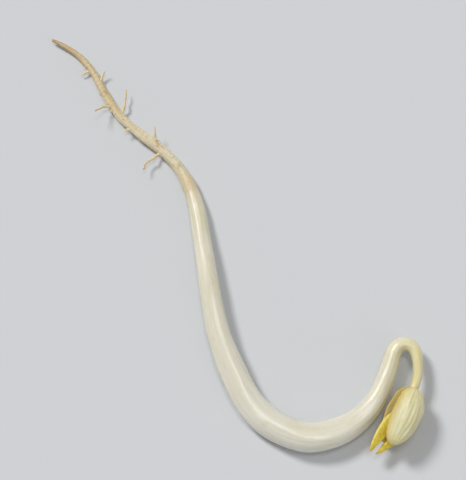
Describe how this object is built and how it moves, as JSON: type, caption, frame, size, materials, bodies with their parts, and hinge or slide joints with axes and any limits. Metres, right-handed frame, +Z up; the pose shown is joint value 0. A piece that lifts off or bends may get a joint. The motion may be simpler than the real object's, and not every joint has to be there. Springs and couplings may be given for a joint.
{
  "type": "mung bean sprout",
  "caption": "Fresh mung bean sprout lying on its side: thin wavy root, plump white stem bent in a U, small hook, and fleshy seed leaves closed over folded yellow first leaves.",
  "frame": {"origin": "on the surface the sprout lies on, under the middle of its bounding box", "axes": "+Z up from the surface; +Y the long way across the sprout, from the bottom of the U towards the root tip; +X from the root tip's side towards the seed leaves' side"},
  "size_m": [0.0452, 0.0518, 0.0051],
  "materials": {
    "stem_flesh": "moist, faintly translucent ivory white flesh with fine lengthwise streaks, turning cream to tan towards the root tip",
    "seed_leaf_flesh": "waxy pale yellow flesh, deeper yellow along the edges",
    "first_leaf_blade": "thin, vivid yellow leaf with raised veins"
  },
  "bodies": {
    "root": {"root_and_stem": "stem_flesh", "cotyledon_upper": "seed_leaf_flesh", "cotyledon_lower": "seed_leaf_flesh", "first_leaf_right": "first_leaf_blade", "first_leaf_left": "first_leaf_blade"}
  },
  "joints": []
}
